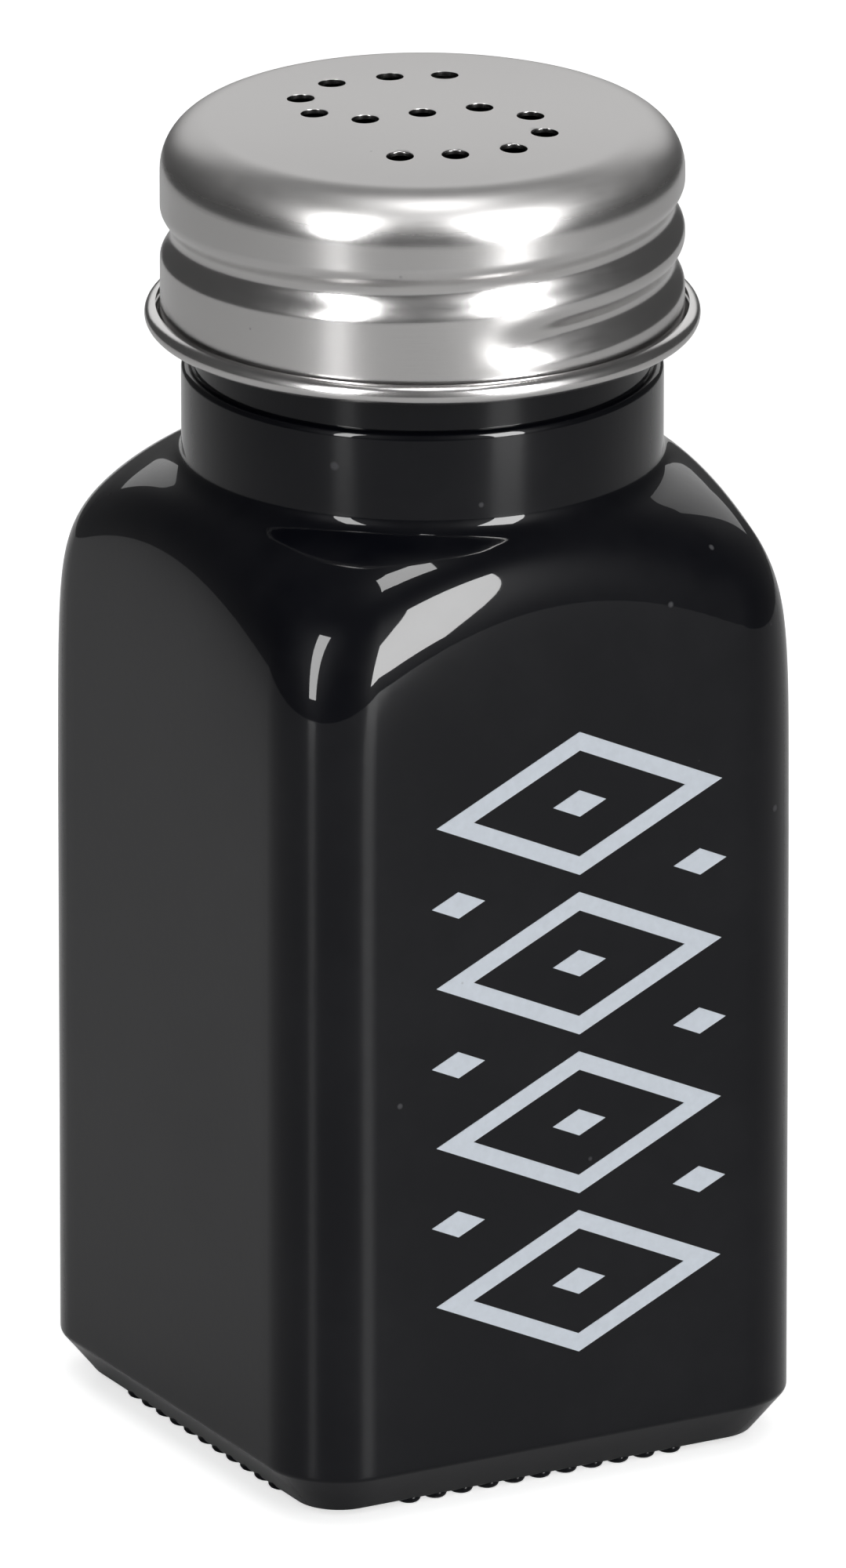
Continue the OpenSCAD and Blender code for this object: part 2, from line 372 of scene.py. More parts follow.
SOCKET_KINDS = {float: "NodeSocketFloat", int: "NodeSocketInt"}


def group_tree(kind, name, inputs, outputs):
    """A node group with named sockets. Returns its builder, its inputs by name and its output node."""
    tree = bpy.data.node_groups.new(name, kind)
    for socket_name, value in inputs.items():
        socket_kind = value if isinstance(value, str) else SOCKET_KINDS[type(value)]
        socket = tree.interface.new_socket(socket_name, in_out="INPUT", socket_type=socket_kind)
        if not isinstance(value, str):
            socket.default_value = value
    for socket_name, socket_kind in outputs.items():
        tree.interface.new_socket(socket_name, in_out="OUTPUT", socket_type=socket_kind)
    nodes = Nodes(tree)
    given = {socket.name: socket for socket in nodes.add("NodeGroupInput").outputs if socket.name}
    return nodes, given, nodes.add("NodeGroupOutput")


def geometry_tree(name, inputs):
    inputs = {"Geometry": "NodeSocketGeometry", **inputs, "Material": "NodeSocketMaterial"}
    nodes, given, output = group_tree("GeometryNodeTree", name, inputs, {"Geometry": "NodeSocketGeometry"})
    numbers = {k: Number(nodes, s) for k, s in given.items() if k not in ("Geometry", "Material")}
    return nodes, given, numbers, output


def close_tree(nodes, given, output, geometry):
    """Ends a geometry tree with plain geometry that has its material."""
    real = nodes.add("GeometryNodeRealizeInstances", {0: geometry}).outputs[0]
    made = nodes.add("GeometryNodeSetMaterial", {"Geometry": real, "Material": given["Material"]}).outputs[0]
    nodes.feed(output.inputs[0], made)
    nodes.arrange()


def apply_tree(piece, tree, values):
    """Runs a geometry tree on a piece, with the values given by the sockets' names."""
    modifier = piece.modifiers.new(tree.name, "NODES")
    modifier.node_group = tree
    for item in tree.interface.items_tree:
        if item.item_type == "SOCKET" and item.in_out == "INPUT" and item.name in values:
            modifier[item.identifier] = values[item.name]


def group_from(kind, name, inputs, outputs, build):
    """A shader group, built once: later calls give the same one."""
    if name in bpy.data.node_groups:
        return bpy.data.node_groups[name]
    nodes, given, output = group_tree(kind, name, inputs, outputs)
    for key, value in build(nodes, given).items():
        nodes.feed(output.inputs[key], value)
    nodes.arrange()
    return nodes.tree


# --- shader groups ---------------------------------------------------------------------------


def dust_specks():
    """Scattered specks of dust, as a mask."""
    def build(nodes, given):
        cells = nodes.add("ShaderNodeTexVoronoi", {"Vector": given["Vector"], "Scale": given["Scale"]})
        distance = Number(nodes, cells.outputs["Distance"])
        chance, size, _ = nodes.split(cells.outputs["Color"])
        chosen = nodes.math("LESS_THAN", chance, Number(nodes, given["Amount"]))
        edge = size * 0.14 + 0.04
        return {"Mask": chosen * nodes.clamp((edge - distance) / (edge * 0.5))}
    return group_from("ShaderNodeTree", "dust_specks",
                      {"Vector": "NodeSocketVector", "Scale": 900.0, "Amount": 0.1},
                      {"Mask": "NodeSocketFloat"}, build)


def handling_marks():
    """Faint smears left by fingers and wiping: 0 where clean, 1 where smeared."""
    def build(nodes, given):
        broad = nodes.noise(given["Vector"], given["Scale"], 3.0, 0.55)
        fine = nodes.noise(given["Vector"], Number(nodes, given["Scale"]) * 6.0, 4.0, 0.65)
        return {"Mask": nodes.smooth_step(broad * 0.7 + fine * 0.3, 0.42, 0.68)}
    return group_from("ShaderNodeTree", "handling_marks",
                      {"Vector": "NodeSocketVector", "Scale": 60.0}, {"Mask": "NodeSocketFloat"}, build)


def brushed_lines():
    """Fine lines that run round the axis, as a height: Across is their fineness, Along their length."""
    def build(nodes, given):
        x, y, z = nodes.split(given["Vector"])
        reach = nodes.math("SQRT", x * x + y * y) + 1e-5
        along = Number(nodes, given["Along"])
        place = nodes.join(x / reach * along, y / reach * along,
                           (z + reach) * Number(nodes, given["Across"]))
        return {"Height": nodes.noise(place, 1.0, 3.0, 0.6)}
    return group_from("ShaderNodeTree", "brushed_lines",
                      {"Vector": "NodeSocketVector", "Across": 9000.0, "Along": 6.0},
                      {"Height": "NodeSocketFloat"}, build)


class Finish(Nodes):
    """A material with one Principled shader, read on Object coordinates."""

    def __init__(self, name, **constants):
        self.material = bpy.data.materials.new(name)
        self.material.use_nodes = True
        super().__init__(self.material.node_tree)
        self.shader = self.tree.nodes["Principled BSDF"]
        for socket, value in constants.items():
            self.shader.inputs[socket.replace("_", " ")].default_value = value
        self.place = self.add("ShaderNodeTexCoord").outputs["Object"]

    def use(self, group, output, **values):
        inputs = {"Vector": self.place, **values}
        node = self.tree.nodes.new("ShaderNodeGroup")
        node.node_tree = group
        for key, value in inputs.items():
            self.feed(node.inputs[key], value)
        return Number(self, node.outputs[output])

    def blend(self, share, first, second):
        node = self.add("ShaderNodeMix", data_type="RGBA")
        self.feed(node.inputs[0], share)
        for place, value in ((6, first), (7, second)):
            value = value if isinstance(value, bpy.types.NodeSocket) else (*value, 1.0)
            self.feed(node.inputs[place], value)
        return node.outputs[2]

    def bump(self, height, depth):
        node = self.add("ShaderNodeBump", {"Height": height, "Distance": depth, "Strength": 1.0})
        self.feed(self.shader.inputs["Normal"], node.outputs[0])

    def done(self, **sockets):
        for socket, value in sockets.items():
            self.feed(self.shader.inputs[socket.replace("_", " ")], value)
        self.arrange()
        return self.material


LACQUER_RELIEF, STEEL_RELIEF, INK_RELIEF, SEAL_RELIEF = 4e-6, 2.2e-6, 6e-6, 8e-6
GRAIN_START, GRAIN_FULL = 4 * MM, 1.2 * MM
# How far out, and how deep under the top, the painted shade inside the pouring holes reaches.
HOLES_REACH, HOLE_SKIN = 15 * MM, 0.02 * MM


def lacquer_finish(finishes):
    """Glossy black lacquer over glass, with orange peel, faint smears and dust."""
    if "black_lacquer" in bpy.data.materials:
        return bpy.data.materials["black_lacquer"]
    f = Finish("black_lacquer", IOR=1.34, Specular_IOR_Level=0.08, Coat_Roughness=0.025, Coat_IOR=1.3)
    dust = f.use(dust_specks(), "Mask", Scale=420.0, Amount=0.035)
    marks = f.use(handling_marks(), "Mask", Scale=45.0)
    peel = f.noise(f.place, 1100.0, 2.0, 0.5)
    waves = f.noise(f.place, 90.0, 1.0, 0.4)
    f.bump(peel * 1.1 + waves * 9.0 + dust * 4.0, LACQUER_RELIEF)
    share = dust * 0.5 + marks * 0.02
    return f.done(Base_Color=f.blend(share, finishes.lacquer, finishes.haze),
                  Roughness=marks * 0.08 + 0.34 + dust * 0.2,
                  Coat_Weight=1.0 - dust * 0.8 - marks * 0.06)


def steel_finish(finishes, c):
    """Stainless sheet: brushed round its side, finely grained on top, with painted shade darkening the walls
    of its pouring holes.
    """
    f = Finish("brushed_steel", Metallic=1.0)
    x, y, height = f.split(f.place)
    top = f.smooth_step(height, CAP_HIGH.z - GRAIN_START, CAP_HIGH.z - GRAIN_FULL)
    lines = f.use(brushed_lines(), "Height", Across=9000.0, Along=5.0)
    grain = f.noise(f.place, 5200.0, 2.0, 0.6)
    marks = f.use(handling_marks(), "Mask", Scale=70.0)
    dust = f.use(dust_specks(), "Mask", Scale=900.0, Amount=0.03)
    reach = x * x + y * y
    levelled = height + reach * (c.crown / (c.radius - c.edge) ** 2)
    # Painted shade: a mask of the hole walls, below the top's surface, which darkens them to stand for the
    # shade inside the holes.
    pierced = (f.math("LESS_THAN", reach, HOLES_REACH**2)
               * f.math("LESS_THAN", levelled, CAP_HIGH.z - HOLE_SKIN))
    f.bump(lines * (1.0 - top * 0.85) + grain * top * 0.6, STEEL_RELIEF)
    steel = Vector(finishes.steel)
    tint = f.blend(lines * 0.35 + marks * 0.25, tuple(steel * 0.93), tuple(steel * 1.05))
    # Painted shade: the hole walls are darkened to 0.4 of the steel's colour.
    hole_shaded_tint = f.blend(pierced, tint, tuple(steel * 0.4))
    return f.done(Base_Color=f.blend(dust * 0.4, hole_shaded_tint, finishes.haze),
                  Roughness=0.2 + top * (1.0 - pierced) * 0.2 + lines * 0.05 + marks * 0.03)


def ink_finish(finishes):
    """Matt printed ink, with the slight mottle of a screen print."""
    f = Finish("printed_ink", IOR=1.45)
    mottle = f.noise(f.place, 1500.0, 3.0, 0.6)
    dust = f.use(dust_specks(), "Mask", Scale=900.0, Amount=0.04)
    ink = Vector(finishes.ink)
    f.bump(mottle, INK_RELIEF)
    tone = f.blend(mottle, tuple(ink * 0.9), tuple(ink * 1.06))
    return f.done(Base_Color=f.blend(dust * 0.3, tone, finishes.haze), Roughness=mottle * 0.12 + 0.42)


def seal_finish(finishes):
    """Soft moulded plastic."""
    f = Finish("soft_seal", IOR=1.46)
    marks = f.use(handling_marks(), "Mask", Scale=120.0)
    grain = f.noise(f.place, 3000.0, 2.0, 0.5)
    seal = Vector(finishes.seal)
    f.bump(grain, SEAL_RELIEF)
    return f.done(Base_Color=f.blend(marks, tuple(seal), tuple(seal * 0.86)), Roughness=grain * 0.1 + 0.45)


# --- geometry trees --------------------------------------------------------------------------


WELD = 2e-6
HOLE_COUNT = 13
PUNCH_DEPTH = 4 * MM
CREASE = math.radians(32)


def rib_tree():
    """Ribs along the four sides of the foot, each a rounded pad worn flat where it stands."""
    nodes, given, n, output = geometry_tree("foot_ribs_tree", {
        "Count": 11, "Pitch": 0.0, "Width": 0.0, "Length": 0.0, "Height": 0.0, "Reach": 0.0})
    index = Number(nodes, nodes.add("GeometryNodeInputIndex").outputs[0])
    side = nodes.math("FLOOR", (index + 0.5) / n["Count"])
    along = (index - side * n["Count"] - (n["Count"] - 1.0) / 2.0) * n["Pitch"]
    place = nodes.join(along, n["Length"] / 2.0 - n["Reach"], n["Height"])
    turn = side * (math.pi / 2)
    spun = nodes.add("ShaderNodeVectorRotate", {"Vector": place, "Angle": turn}, rotation_type="Z_AXIS")
    points = nodes.add("GeometryNodePoints", {"Count": n["Count"] * 4.0, "Position": spun.outputs[0]})
    pad = nodes.add("GeometryNodeMeshUVSphere", {"Segments": 20, "Rings": 12, "Radius": 1.0})
    spin = nodes.add("FunctionNodeEulerToRotation", {0: nodes.join(0.0, 0.0, turn)})
    size = nodes.join(n["Width"] / 2.0, n["Length"] / 2.0, n["Height"] * 1.5)
    pads = nodes.add("GeometryNodeInstanceOnPoints", {
        "Points": points.outputs[0], "Instance": pad.outputs[0], "Rotation": spin.outputs[0], "Scale": size})
    real = nodes.add("GeometryNodeRealizeInstances", {0: pads.outputs[0]})
    x, y, z = nodes.split(nodes.add("GeometryNodeInputPosition").outputs[0])
    stood = nodes.join(x, y, nodes.math("MAXIMUM", z, 0.0))
    flat = nodes.add("GeometryNodeSetPosition", {"Geometry": real.outputs[0], "Position": stood})
    close_tree(nodes, given, output, flat.outputs[0])
    return nodes.tree


def ridge_tree():
    """The screw ridge: a grid wrapped to a closed section and wound round the neck."""
    nodes, given, n, output = geometry_tree("neck_thread_tree", {
        "Root": 0.0, "Height": 0.0, "Half Width": 0.0, "Start": 0.0, "Low": 0.0,
        "Pitch": 0.0, "Turns": 0.0, "Fade": 0.0, "Sink": 0.0})
    grid = nodes.add("GeometryNodeMeshGrid", {
        "Size X": 1.0, "Size Y": 1.0, "Vertices X": 361, "Vertices Y": 33})
    x, y, _ = nodes.split(nodes.add("GeometryNodeInputPosition").outputs[0])
    turn = (x + 0.5) * n["Turns"]
    fade = n["Fade"] / TURN
    share = nodes.smooth_step(nodes.math("MINIMUM", turn / fade, (n["Turns"] - turn) / fade), 0.0, 1.0)
    around = (y + 0.5) * TURN
    out, up = nodes.math("COSINE", around), nodes.math("SINE", around)
    radius = n["Root"] - n["Sink"] + out * (n["Height"] + n["Sink"]) * share
    height = n["Low"] + turn * n["Pitch"] + up * n["Half Width"] * share
    bearing = n["Start"] + turn * TURN
    wound = nodes.join(radius * nodes.math("COSINE", bearing), radius * nodes.math("SINE", bearing), height)
    placed = nodes.add("GeometryNodeSetPosition", {"Geometry": grid.outputs[0], "Position": wound})
    merged = nodes.add("GeometryNodeMergeByDistance", {"Geometry": placed.outputs[0], "Distance": WELD})
    smooth = nodes.add("GeometryNodeSetShadeSmooth", {"Geometry": merged.outputs[0]})
    close_tree(nodes, given, output, smooth.outputs[0])
    return nodes.tree


def groove_tree():
    """Rolls the screw groove into the side of the cap, its outer and inner walls together."""
    nodes, given, n, output = geometry_tree("rolled_groove_tree", {
        "Depth": 0.0, "Half Width": 0.0, "Start": 0.0, "Low": 0.0, "Pitch": 0.0, "Turns": 0.0, "Fade": 0.0})
    x, y, z = nodes.split(nodes.add("GeometryNodeInputPosition").outputs[0])
    first = nodes.math("FRACT", (nodes.math("ARCTAN2", y, x) - n["Start"]) / TURN)
    fade = n["Fade"] / TURN
    shares = []
    for turn in (first, first + 1.0):
        run = nodes.smooth_step(nodes.math("MINIMUM", turn / fade, (n["Turns"] - turn) / fade), 0.0, 1.0)
        away = nodes.math("ABSOLUTE", z - n["Low"] - n["Pitch"] * turn) / n["Half Width"]
        bend = nodes.math("COSINE", nodes.math("MINIMUM", away, 1.0) * (math.pi / 2))
        shares.append(run * bend * bend)
    depth = n["Depth"] * nodes.math("MAXIMUM", *shares)
    scale = 1.0 - depth / nodes.math("SQRT", x * x + y * y + 1e-9)
    rolled = nodes.add("GeometryNodeSetPosition",
                       {"Geometry": given["Geometry"], "Position": nodes.join(x * scale, y * scale, z)})
    close_tree(nodes, given, output, rolled.outputs[0])
    return nodes.tree


def holes_tree():
    """Pierces the pouring holes: two bowls and two tails about the middle one, each with a pressed edge."""
    nodes, given, n, output = geometry_tree("pouring_holes_tree", {
        "Radius": 0.0, "Flare": 0.0, "Top": 0.0, "Crown": 0.0, "Crown Reach": 0.0,
        "Bowl X": 0.0, "Bowl Y": 0.0, "Bowl Width": 0.0, "Bowl Height": 0.0,
        "Bowl Start": 0.0, "Bowl Step": 0.0, "Tail X": 0.0, "Tail Y": 0.0})
    index = Number(nodes, nodes.add("GeometryNodeInputIndex").outputs[0]) - (HOLE_COUNT - 1) / 2
    rank, side = nodes.math("ABSOLUTE", index), nodes.math("SIGN", index)
    bearing = n["Bowl Start"] + (rank - 1.0) * n["Bowl Step"]
    last = nodes.math("GREATER_THAN", rank, HOLE_COUNT / 2 - 1)
    bowl_x = n["Bowl X"] + n["Bowl Width"] * nodes.math("COSINE", bearing)
    bowl_y = n["Bowl Y"] + n["Bowl Height"] * nodes.math("SINE", bearing)
    x = side * (bowl_x + (n["Tail X"] - bowl_x) * last)
    y = side * (bowl_y + (n["Tail Y"] - bowl_y) * last)
    fall = n["Crown"] * (x * x + y * y) / (n["Crown Reach"] * n["Crown Reach"])
    points = nodes.add("GeometryNodePoints",
                       {"Count": HOLE_COUNT, "Position": nodes.join(x, y, n["Top"] - fall)})
    punch = nodes.add("GeometryNodeMeshCylinder", {
        "Vertices": 48, "Side Segments": 12, "Radius": n["Radius"], "Depth": PUNCH_DEPTH})
    px, py, pz = nodes.split(nodes.add("GeometryNodeInputPosition").outputs[0])
    rise = nodes.math("MAXIMUM", pz / (PUNCH_DEPTH / 2), 0.0)
    widen = 1.0 + n["Flare"] * 2.0 / n["Radius"] * rise * rise
    level = nodes.math("MINIMUM", pz, 0.0) - n["Flare"] + n["Flare"] * 2.0 * rise
    flared = nodes.add("GeometryNodeSetPosition",
                       {"Geometry": punch.outputs[0], "Position": nodes.join(px * widen, py * widen, level)})
    punches = nodes.add("GeometryNodeInstanceOnPoints",
                        {"Points": points.outputs[0], "Instance": flared.outputs[0]})
    cutters = nodes.add("GeometryNodeRealizeInstances", {0: punches.outputs[0]})
    pierced = nodes.add("GeometryNodeMeshBoolean", operation="DIFFERENCE", solver="EXACT")
    nodes.feed(pierced.inputs["Mesh 1"], given["Geometry"])
    nodes.feed(pierced.inputs["Mesh 2"], cutters.outputs[0])
    bend = Number(nodes, nodes.add("GeometryNodeInputMeshEdgeAngle").outputs[0])
    sharp = nodes.math("GREATER_THAN", bend, CREASE)
    smooth = nodes.add("GeometryNodeSetShadeSmooth",
                       {"Geometry": pierced.outputs[0], "Shade Smooth": True}, domain="FACE")
    edged = nodes.add("GeometryNodeSetShadeSmooth", {
        "Geometry": smooth.outputs[0], "Selection": sharp, "Shade Smooth": False}, domain="EDGE")
    close_tree(nodes, given, output, edged.outputs[0])
    return nodes.tree


# --- operators -------------------------------------------------------------------------------


class Builder:
    """What the shaker's operators share."""

    bl_options = {"REGISTER", "UNDO"}

    def settings(self, context):
        scene = context.scene
        return (scene.shaker_body, scene.shaker_ribs, scene.shaker_thread, scene.shaker_cap,
                scene.shaker_finishes)


class SHAKER_OT_glass_body(Builder, bpy.types.Operator):
    """Makes the square glass body with its bevelled heel, domed shoulder, neck and mouth"""

    bl_idname = "shaker.glass_body"
    bl_label = "Glass Body"

    DOME_POWER = 0.754
    DOME_BLEND = 10.4
    DOME_BEND = 0.6 * MM
    FILLET = 2 * MM
    PUSH_SPHERE = 80 * MM
    STEP_EDGE = 0.62 * MM
    DOME_INSET = 0.2 * MM
    INNER_DROP = 2.4 * MM
    INNER_SOFT = 2 * MM
    DOME_THIN = 2 * MM

    def dome(self, z, inner, outer, low, high):
        """Radius of the dome at a height, which runs on straight past its bend near the top."""
        span, bend = high - low, high - self.DOME_BEND
        slope = self.DOME_POWER * (self.DOME_BEND / span) ** (self.DOME_POWER - 1) / span
        share = ((high - min(z, bend)) / span) ** self.DOME_POWER - slope * max(z - bend, 0)
        return inner + (outer - inner) * share

    def meet(self, reach, radius):
        """The larger of a reach and a radius, rounded where they cross."""
        near = np.maximum(self.FILLET - np.abs(reach - radius), 0)
        return np.maximum(reach, radius) + near**2 / (4 * self.FILLET)

    def pinch(self, reach, radius):
        """Rounds a square reach off to the dome's radius."""
        return reach * (1 + (reach / radius) ** self.DOME_BLEND) ** (-1 / self.DOME_BLEND)

    def outside(self, b, angles):
        """Rings from the middle of the base to the lip."""
        def square(inset):
            return square_reach(angles, b.half_width - inset, b.corner - inset)

        sphere = self.PUSH_SPHERE
        push_radius = math.sqrt(2 * sphere * b.push_up - b.push_up**2)
        rings = []
        for i in range(1, 13):
            r = push_radius * i / 12
            z = b.rib_height + math.sqrt(sphere**2 - r**2) - (sphere - b.push_up)
            rings.append(ring(angles, r, z))
        heel = rounded_outline([
            (b.bevel_inset + 2 * b.edge, b.rib_height, 0), (b.bevel_inset, b.rib_height, b.edge),
            (0, b.bevel_height, b.edge * 1.4), (0, b.bevel_height + 2 * b.edge, 0)], 8)
        rings += [ring(angles, square(p.x), p.y) for p in heel]
        full = square(0)
        rings += [ring(angles, full, z) for z in np.linspace(b.bevel_height + 3 * b.edge, b.wall_top, 10)]
        end, clear = b.neck_height - MM, b.neck_height + MM
        heights = [b.wall_top + (end - b.wall_top) * math.sin(math.pi / 2 * i / 60) for i in range(1, 61)]
        for z in heights + list(np.linspace(end, clear, 21)[1:]):
            radius = self.dome(z, b.neck - self.DOME_INSET, b.dome, b.shoulder, b.neck_height)
            rings.append(ring(angles, self.meet(self.pinch(full, radius), b.neck), z))
        lip = BOTTLE_HIGH.z
        neck = rounded_outline([
            (b.neck, clear + 0.4 * MM, 0), (b.neck, b.step, self.STEP_EDGE),
            (b.root, b.step, 0.04 * MM), (b.root, b.step + 0.2 * MM, 0), (b.root, b.step + 0.4 * MM, 0),
            (b.root, lip - 2 * b.lip, 0), (b.root, lip, b.lip), (b.mouth, lip, b.lip),
            (b.mouth, lip - 3 * b.lip, 0)], 8)
        return rings + [ring(angles, p.x, p.y) for p in neck]

    def inside(self, b, angles):
        """Rings from the mouth down to the floor inside."""
        high, low = b.neck_height - self.INNER_DROP, b.shoulder - self.INNER_DROP
        room = square_reach(angles, b.half_width - b.wall, b.corner - b.wall + 0.6 * MM)
        rings = [ring(angles, b.mouth, high + 0.6 * MM)]
        for i in range(1, 31):
            z = high - (high - b.wall_top) * (1 - math.cos(math.pi / 2 * i / 30))
            radius = self.dome(z, b.mouth, b.dome - self.DOME_THIN, low, high)
            rings.append(ring(angles, self.pinch(room, radius), z))
        soft = self.INNER_SOFT
        for i in range(9):
            a = math.pi / 2 * i / 8
            rings.append(ring(angles, room - soft * (1 - math.cos(a)), b.base + soft * (1 - math.sin(a))))
        return rings + [ring(angles, room * share, b.base) for share in (0.6, 0.3)]

    def execute(self, context):
        b, _, _, _, finishes = self.settings(context)
        angles = square_angles(b.half_width, b.corner)
        rings = self.outside(b, angles) + self.inside(b, angles)
        poles = ((0, 0, b.rib_height + b.push_up), (0, 0, b.base))
        piece = shell("glass_body", rings, poles)
        finish_piece(piece, lacquer_finish(finishes), "bottle", "black_glass", "bottle")
        return {"FINISHED"}


class SHAKER_OT_foot_ribs(Builder, bpy.types.Operator):
    """Makes the short ribs that the shaker stands on"""

    bl_idname = "shaker.foot_ribs"
    bl_label = "Foot Ribs"

    OVERHANG = 0.1 * MM

    def execute(self, context):
        b, r, _, _, finishes = self.settings(context)
        material = lacquer_finish(finishes)
        piece = seed("foot_ribs")
        apply_tree(piece, rib_tree(), {
            "Count": r.count, "Pitch": r.pitch, "Width": r.width, "Length": r.length, "Height": b.rib_height,
            "Reach": b.half_width - b.bevel_inset + self.OVERHANG, "Material": material})
        settle(piece)
        piece.data.shade_smooth()
        finish_piece(piece, material, "bottle", "black_glass")
        return {"FINISHED"}


class SHAKER_OT_neck_thread(Builder, bpy.types.Operator):
    """Makes the screw ridge round the neck"""

    bl_idname = "shaker.neck_thread"
    bl_label = "Neck Thread"

    SINK = 0.3 * MM

    def execute(self, context):
        b, _, t, _, finishes = self.settings(context)
        material = lacquer_finish(finishes)
        piece = seed("neck_thread")
        apply_tree(piece, ridge_tree(), {
            "Root": b.root, "Height": t.ridge_height, "Half Width": t.ridge_half, "Start": t.ridge_start,
            "Low": t.ridge_low, "Pitch": t.pitch, "Turns": t.ridge_turns, "Fade": t.fade,
            "Sink": self.SINK, "Material": material})
        settle(piece)
        finish_piece(piece, material, "bottle", "black_glass")
        return {"FINISHED"}


class SHAKER_OT_steel_cap(Builder, bpy.types.Operator):
    """Makes the pressed steel cap with its rolled groove, curled rim and pouring holes"""

    bl_idname = "shaker.steel_cap"
    bl_label = "Steel Cap"

    SIDES = 256
    ROWS = 84
    CURL_END = math.radians(455)

    def section(self, c):
        """Outline of the sheet from the middle of its inside, round the curl, to the middle of its top."""
        high = CAP_HIGH.z
        flat = c.radius - c.edge
        edge_z = high - c.crown - c.edge
        curl_x, curl_z = c.radius - c.sheet + c.curl, CAP_LOW.z + c.curl

        def top(share):
            return flat * share, high - c.crown * share**2

        def arc(x, z, radius, first, last, steps):
            turns = [first + (last - first) * i / steps for i in range(steps + 1)]
            return [(x + radius * math.cos(a), z + radius * math.sin(a)) for a in turns]

        def side(x, first, last, steps):
            return [(x, z) for z in np.linspace(first, last, steps + 2)[1:-1]]

        shares = [i / 24 for i in range(1, 24)]
        quarter = math.pi / 2
        return (
            [(r, z - c.sheet) for r, z in map(top, shares)]
            + arc(flat, edge_z, c.edge - c.sheet, quarter, 0, 14)
            + side(c.radius - c.sheet, edge_z, curl_z, self.ROWS)
            + arc(curl_x, curl_z, c.curl, math.pi, self.CURL_END, 30)
            + arc(curl_x, curl_z, c.curl - c.sheet, self.CURL_END, math.pi, 22)
            + side(c.radius, curl_z, edge_z, self.ROWS)
            + arc(flat, edge_z, c.edge, 0, quarter, 16)
            + [top(share) for share in reversed(shares)])

    def execute(self, context):
        _, _, t, c, finishes = self.settings(context)
        material = steel_finish(finishes, c)
        angles = round_angles(self.SIDES)
        rings = [ring(angles, r, z) for r, z in self.section(c)]
        piece = shell("steel_cap", rings, ((0, 0, CAP_HIGH.z - c.sheet), (0, 0, CAP_HIGH.z)))
        apply_tree(piece, groove_tree(), {
            "Depth": t.groove_depth, "Half Width": t.groove_half, "Start": t.groove_start,
            "Low": t.groove_low, "Pitch": t.pitch, "Turns": t.groove_turns, "Fade": t.fade,
            "Material": material})
        apply_tree(piece, holes_tree(), {
            "Radius": c.hole, "Flare": c.flare, "Top": CAP_HIGH.z, "Crown": c.crown,
            "Crown Reach": c.radius - c.edge, "Bowl X": c.bowl_x, "Bowl Y": c.bowl_y,
            "Bowl Width": c.bowl_width, "Bowl Height": c.bowl_height, "Bowl Start": c.bowl_start,
            "Bowl Step": c.bowl_step, "Tail X": c.tail_x, "Tail Y": c.tail_y, "Material": material})
        settle(piece)
        finish_piece(piece, material, "cap", "steel_cap", "cap")
        return {"FINISHED"}


class SHAKER_OT_liner_ring(Builder, bpy.types.Operator):
    """Makes the soft ring that seals the cap on the lip"""

    bl_idname = "shaker.liner_ring"
    bl_label = "Liner Ring"

    IN, OUT = 15.2 * MM, 18 * MM
    EDGE, CHAMFER = 0.2 * MM, 0.6 * MM

    def execute(self, context):
        _, _, _, c, finishes = self.settings(context)
        low, high = SEAL_LOW.z, SEAL_HIGH.z
        shoulder = c.radius - c.edge
        start = (self.IN + self.OUT) / 2
        outline = rounded_outline([
            (start, low, 0), (self.OUT, low, self.EDGE), (self.OUT, high - self.CHAMFER, self.EDGE),
            (shoulder, high, self.EDGE), (self.IN, high, self.EDGE), (self.IN, low, self.EDGE),
            (start - 0.3 * MM, low, 0)], 5)
        angles = round_angles(160)
        piece = shell("liner_ring", [ring(angles, p.x, p.y) for p in outline], closed=True)
        finish_piece(piece, seal_finish(finishes), "seal", "seal", "seal_ring")
        return {"FINISHED"}


class SHAKER_OT_printed_crystals(Builder, bpy.types.Operator):
    """Inks the crystals printed on the front face"""

    bl_idname = "shaker.printed_crystals"
    bl_label = "Printed Crystals"

    def execute(self, context):
        finishes = self.settings(context)[-1]
        print_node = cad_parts["crystal_print"]
        print_node.data.materials.clear()
        print_node.data.materials.append(ink_finish(finishes))
        return {"FINISHED"}


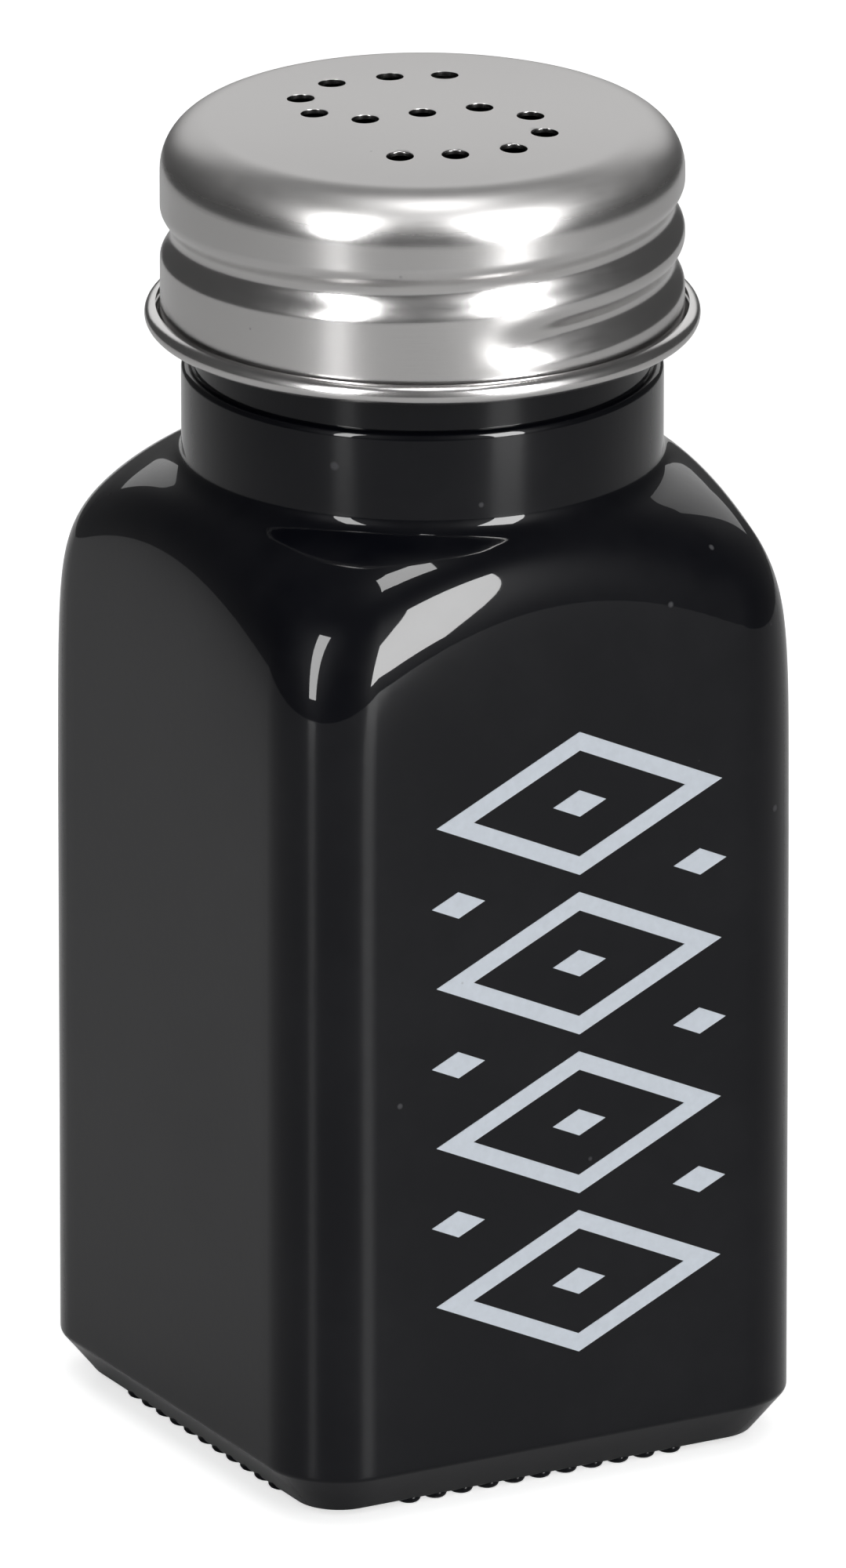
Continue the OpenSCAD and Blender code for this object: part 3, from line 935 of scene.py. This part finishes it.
class SHAKER_OT_stage(Builder, bpy.types.Operator):
    """Sets the floor, the lights and the camera"""

    bl_idname = "shaker.stage"
    bl_label = "Stage"

    CAMERA_AZIMUTH, CAMERA_ELEVATION = math.radians(-28.715), math.radians(19.201)
    CAMERA_DISTANCE = 2.2
    CAMERA_SENSOR, CAMERA_LENS = 36, 652.7
    CAMERA_SHIFT = (0.00035, -0.0011)
    TARGET = Vector((0, 0, 0.05107))

    # name: bearing, elevation, distance, width, height, power, and whether it is for reflections
    LIGHTS = {
        "strip_left": (-66, 24, 1.1, 0.17, 0.95, 11.0, "reflected"),
        "strip_right": (12, 22, 1.1, 0.3, 0.95, 26.0, "reflected"),
        "top_box": (0, 84, 1.5, 0.3, 0.3, 5.0, "reflected"),
        "back_card": (151, 24, 1.9, 2.2, 1.0, 7.2, "reflected"),
        "overhead": (0, 85, 1.7, 1.8, 1.8, 16.0, "plain"),
        "front_fill": (-20, 30, 1.6, 1.2, 1.2, 11.0, "plain"),
    }
    TABLE_RADIUS = 0.5
    TABLE_DROP = 0.05 * MM
    TABLE_GLOW = 0.7
    SURROUND_GLOW = 1.1
    SURROUND_LIGHT = 0.08

    def direction(self, azimuth, elevation):
        flat = math.cos(elevation)
        return Vector((math.sin(azimuth) * flat, -math.cos(azimuth) * flat, math.sin(elevation)))

    def floor(self, context, finishes):
        angles = round_angles(96)
        rings = [ring(angles, r, -self.TABLE_DROP) for r in (self.TABLE_RADIUS, 0.3, 0.1)]
        floor = shell("studio_floor", rings, (None, (0, 0, -self.TABLE_DROP)))
        f = Finish("studio_floor", IOR=1.4, Roughness=0.4, Specular_IOR_Level=0.14)
        mottle = f.noise(f.place, 3.0, 2.0, 0.5)
        pale = Vector(finishes.floor)
        f.shader.inputs["Emission Color"].default_value = (1, 1, 1, 1)
        seen = Number(f, f.add("ShaderNodeLightPath").outputs["Is Camera Ray"])
        material = f.done(Base_Color=f.blend(mottle, tuple(pale * 0.99), tuple(pale)),
                          Emission_Strength=seen * self.TABLE_GLOW)
        floor.data.materials.append(material)

    def light(self, context, name, azimuth, elevation, distance, width, height, power, kind):
        data = bpy.data.lights.new(name, "AREA")
        data.shape, data.size, data.size_y, data.energy = "RECTANGLE", width, height, power
        back = self.direction(math.radians(azimuth), math.radians(elevation))
        lamp = bpy.data.objects.new(name, data)
        lamp.location = self.TARGET + back * distance
        lamp.rotation_euler = back.to_track_quat("Z", "Y").to_euler()
        lamp.visible_camera = False
        lamp.visible_glossy = kind == "reflected"
        lamp.visible_diffuse = kind == "plain"
        context.scene.collection.objects.link(lamp)

    def world(self, context):
        world = bpy.data.worlds.new("studio")
        world.use_nodes = True
        nodes = Nodes(world.node_tree)
        background = world.node_tree.nodes["Background"]
        background.inputs["Color"].default_value = (1, 1, 1, 1)
        seen = Number(nodes, nodes.add("ShaderNodeLightPath").outputs["Is Camera Ray"])
        nodes.feed(background.inputs["Strength"],
                   seen * (self.SURROUND_GLOW - self.SURROUND_LIGHT) + self.SURROUND_LIGHT)
        context.scene.world = world
        context.scene.view_settings.view_transform = "Standard"

    def camera(self, context):
        data = bpy.data.cameras.new("camera")
        data.sensor_width, data.lens = self.CAMERA_SENSOR, self.CAMERA_LENS
        data.shift_x, data.shift_y = self.CAMERA_SHIFT
        back = self.direction(self.CAMERA_AZIMUTH, self.CAMERA_ELEVATION)
        camera = bpy.data.objects.new("camera", data)
        camera.location = self.TARGET + back * self.CAMERA_DISTANCE
        camera.rotation_mode = "QUATERNION"
        camera.rotation_quaternion = back.to_track_quat("Z", "Y")
        context.scene.collection.objects.link(camera)
        context.scene.camera = camera

    def execute(self, context):
        finishes = self.settings(context)[-1]
        self.floor(context, finishes)
        for name, values in self.LIGHTS.items():
            self.light(context, name, *values)
        self.world(context)
        self.camera(context)
        return {"FINISHED"}


OPERATORS = (
    SHAKER_OT_stage,
    SHAKER_OT_glass_body,
    SHAKER_OT_foot_ribs,
    SHAKER_OT_neck_thread,
    SHAKER_OT_liner_ring,
    SHAKER_OT_steel_cap,
    SHAKER_OT_printed_crystals,
)


class SHAKER_PT_pieces(bpy.types.Panel):
    """Lists the shaker's pieces"""

    bl_idname = "SHAKER_PT_pieces"
    bl_label = "Glass Salt Shaker"
    bl_space_type = "VIEW_3D"
    bl_region_type = "UI"
    bl_category = "Shaker"

    def draw(self, context):
        for operator in OPERATORS:
            self.layout.operator(operator.bl_idname)
        for name, group in SETTINGS.items():
            box = self.layout.box()
            for prop in group.__annotations__:
                box.prop(getattr(context.scene, name), prop)


CLASSES = (*SETTINGS.values(), *OPERATORS, SHAKER_PT_pieces)


def register():
    for cls in CLASSES:
        bpy.utils.register_class(cls)
    for name, group in SETTINGS.items():
        setattr(bpy.types.Scene, name, PointerProperty(type=group))


def unregister():
    for name in SETTINGS:
        delattr(bpy.types.Scene, name)
    for cls in reversed(CLASSES):
        bpy.utils.unregister_class(cls)


def main():
    register()
    for operator in OPERATORS:
        group, name = operator.bl_idname.split(".")
        getattr(getattr(bpy.ops, group), name)()


if __name__ == "__main__":
    main()
